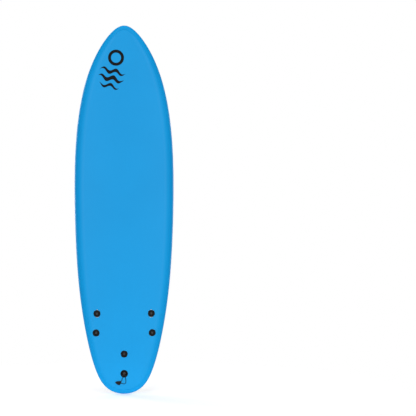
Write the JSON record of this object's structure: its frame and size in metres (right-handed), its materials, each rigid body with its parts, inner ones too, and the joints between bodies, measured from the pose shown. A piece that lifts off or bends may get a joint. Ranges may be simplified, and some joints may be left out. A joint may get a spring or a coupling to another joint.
{
  "type": "soft-top surfboard",
  "caption": "Rounded soft-top surfboard with a foam deck, hard plastic bottom, bolt-through raked fins and a leash string at the tail.",
  "frame": {"origin": "on the small flat of the belly, on the centre plane, half way between tail and nose", "axes": "+Z from tail to nose, +Y out of the deck, X across the board with +X on the rider's left"},
  "size_m": [0.5775, 0.2621, 2.134],
  "materials": {
    "core_foam": "matte",
    "stringer_wood": "matte",
    "deck_foam": "satin",
    "rail_foam": "satin",
    "liner_foam": "matte",
    "slick_sheet": "gloss",
    "plug_plastic": "satin",
    "sleeve_plastic": "satin",
    "fin_plastic": "satin",
    "insert_brass": "satin",
    "gasket_rubber": "matte",
    "steel": "satin",
    "bolt_steel": "satin",
    "cord": "matte",
    "tag_webbing": "matte"
  },
  "bodies": {
    "board": {"foam_core_left": "core_foam", "foam_core_centre": "core_foam", "foam_core_right": "core_foam", "stringer_left": "stringer_wood", "stringer_right": "stringer_wood", "deck_skin": "deck_foam", "rail_band": "rail_foam", "bottom_liner": "liner_foam", "bottom_slick": "slick_sheet", "left_front_deck_plug": "plug_plastic", "left_rear_deck_plug": "plug_plastic", "right_front_deck_plug": "plug_plastic", "right_rear_deck_plug": "plug_plastic", "centre_front_deck_plug": "plug_plastic", "leash_plug_cup": "plug_plastic", "leash_bar": "steel", "left_fin_sleeves": "sleeve_plastic", "right_fin_sleeves": "sleeve_plastic", "centre_fin_sleeves": "sleeve_plastic", "bolt_washers": "steel"},
    "left_fin_unit": {"left_fin": "fin_plastic", "left_fin_inserts": "insert_brass", "left_fin_gasket": "gasket_rubber"},
    "right_fin_unit": {"right_fin": "fin_plastic", "right_fin_inserts": "insert_brass", "right_fin_gasket": "gasket_rubber"},
    "centre_fin_unit": {"centre_fin": "fin_plastic", "centre_fin_inserts": "insert_brass", "centre_fin_gasket": "gasket_rubber"},
    "left_front_screw": {"left_front_bolt": "bolt_steel"},
    "left_rear_screw": {"left_rear_bolt": "bolt_steel"},
    "right_front_screw": {"right_front_bolt": "bolt_steel"},
    "right_rear_screw": {"right_rear_bolt": "bolt_steel"},
    "centre_front_screw": {"centre_front_bolt": "bolt_steel"},
    "centre_rear_screw": {"centre_rear_bolt": "bolt_steel"},
    "leash_loop": {"leash_string": "cord", "leash_tag": "tag_webbing"}
  },
  "joints": [
    {"name": "left_fin_pull", "type": "slide", "parent": "board", "child": "left_fin_unit", "axis": [0, -1, 0], "range_m": [0, 0.05]},
    {"name": "right_fin_pull", "type": "slide", "parent": "board", "child": "right_fin_unit", "axis": [0, -1, 0], "range_m": [0, 0.05]},
    {"name": "centre_fin_pull", "type": "slide", "parent": "board", "child": "centre_fin_unit", "axis": [0, -1, 0], "range_m": [0, 0.05]},
    {"name": "left_front_bolt_draw", "type": "slide", "parent": "board", "child": "left_front_screw", "axis": [0, 1, 0], "range_m": [0, 0.09]},
    {"name": "left_rear_bolt_draw", "type": "slide", "parent": "board", "child": "left_rear_screw", "axis": [0, 1, 0], "range_m": [0, 0.09]},
    {"name": "right_front_bolt_draw", "type": "slide", "parent": "board", "child": "right_front_screw", "axis": [0, 1, 0], "range_m": [0, 0.09]},
    {"name": "right_rear_bolt_draw", "type": "slide", "parent": "board", "child": "right_rear_screw", "axis": [0, 1, 0], "range_m": [0, 0.09]},
    {"name": "centre_front_bolt_draw", "type": "slide", "parent": "board", "child": "centre_front_screw", "axis": [0, 1, 0], "range_m": [0, 0.09]},
    {"name": "centre_rear_bolt_draw", "type": "slide", "parent": "board", "child": "centre_rear_screw", "axis": [0, 1, 0], "range_m": [0, 0.09]},
    {"name": "leash_loop_swing", "type": "hinge", "parent": "board", "child": "leash_loop", "pos_m": [0, 0.08518, -0.9612], "axis": [1, 0, 0], "range_deg": [0, 95]}
  ]
}
